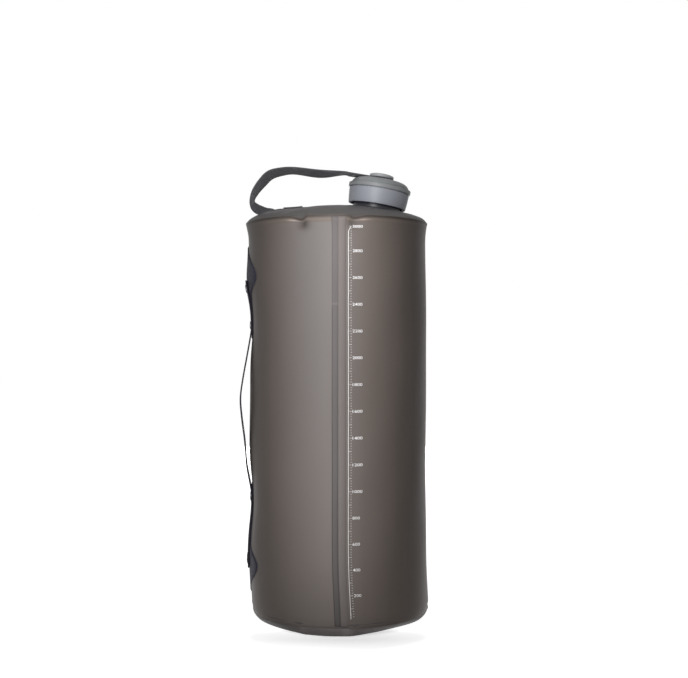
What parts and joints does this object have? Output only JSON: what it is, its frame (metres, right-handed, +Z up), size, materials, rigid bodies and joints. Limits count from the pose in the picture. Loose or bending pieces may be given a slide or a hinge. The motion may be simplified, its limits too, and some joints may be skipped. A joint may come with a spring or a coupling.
{
  "type": "collapsible water carrier",
  "caption": "Round collapsible film water carrier with a screw cap on a tilted spout, a carry strap and a webbing side handle.",
  "frame": {"origin": "centre of the round base, on the floor", "axes": "+Z up along the body, -Y towards the front with the printed scale, +X to the side of the spout and the cap, -X to the side handle"},
  "size_m": [0.1299, 0.1242, 0.3098],
  "materials": {
    "film": "smoky, slightly translucent matte thermoplastic film",
    "lid_film": "smoky matte thermoplastic film",
    "welded_film": "two layers of film welded together, satin",
    "patch_film": "dark matte coated fabric",
    "webbing": "charcoal woven webbing",
    "thread": "dark sewing thread",
    "dark_moulding": "near-black moulded plastic",
    "cap_moulding": "blue-grey satin moulded plastic",
    "crown_moulding": "grey finely textured moulded plastic",
    "seal": "pale grey soft seal"
  },
  "bodies": {
    "lower_body": {"base_panel": "film", "bottom_weld_rim": "welded_film", "left_wall_panel": "film", "right_wall_panel": "film", "front_seam_strip": "welded_film", "back_seam_strip": "welded_film", "upper_side_patch": "patch_film", "lower_side_patch": "patch_film", "side_handle_webbing": "webbing", "upper_end_bartack": "thread", "upper_root_bartack": "thread", "lower_root_bartack": "thread", "lower_end_bartack": "thread"},
    "top_end": {"top_panel": "lid_film", "top_weld_rim": "welded_film", "spout_neck": "dark_moulding", "strap_anchor_patch": "lid_film", "carry_strap": "webbing"},
    "strap_end": {"carry_strap_tab": "webbing", "strap_eyelet": "dark_moulding"},
    "screw_cap": {"cap_shell": "cap_moulding", "cap_crown": "crown_moulding", "cap_knob": "crown_moulding", "cap_gasket": "seal"}
  },
  "joints": [
    {"name": "collapse", "type": "slide", "parent": "lower_body", "child": "top_end", "axis": [0, 0, 1], "range_m": [-0.2, 0], "deforming": ["left_wall_panel", "right_wall_panel", "front_seam_strip", "back_seam_strip", "upper_side_patch", "lower_side_patch", "side_handle_webbing", "upper_end_bartack", "upper_root_bartack", "lower_root_bartack", "lower_end_bartack"]},
    {"name": "cap_lift", "type": "slide", "parent": "top_end", "child": "strap_end", "axis": [0.165, 0, 0.9863], "range_m": [0, 0.0067]},
    {"name": "cap_turn", "type": "hinge", "parent": "strap_end", "child": "screw_cap", "pos_m": [0.0267, 0, 0.2789], "axis": [0.165, 0, 0.9863], "range_deg": [0, 600]}
  ],
  "couplings": [
    {"joint": "cap_lift", "follows": "cap_turn", "m_per_rad": 0.00063662}
  ]
}
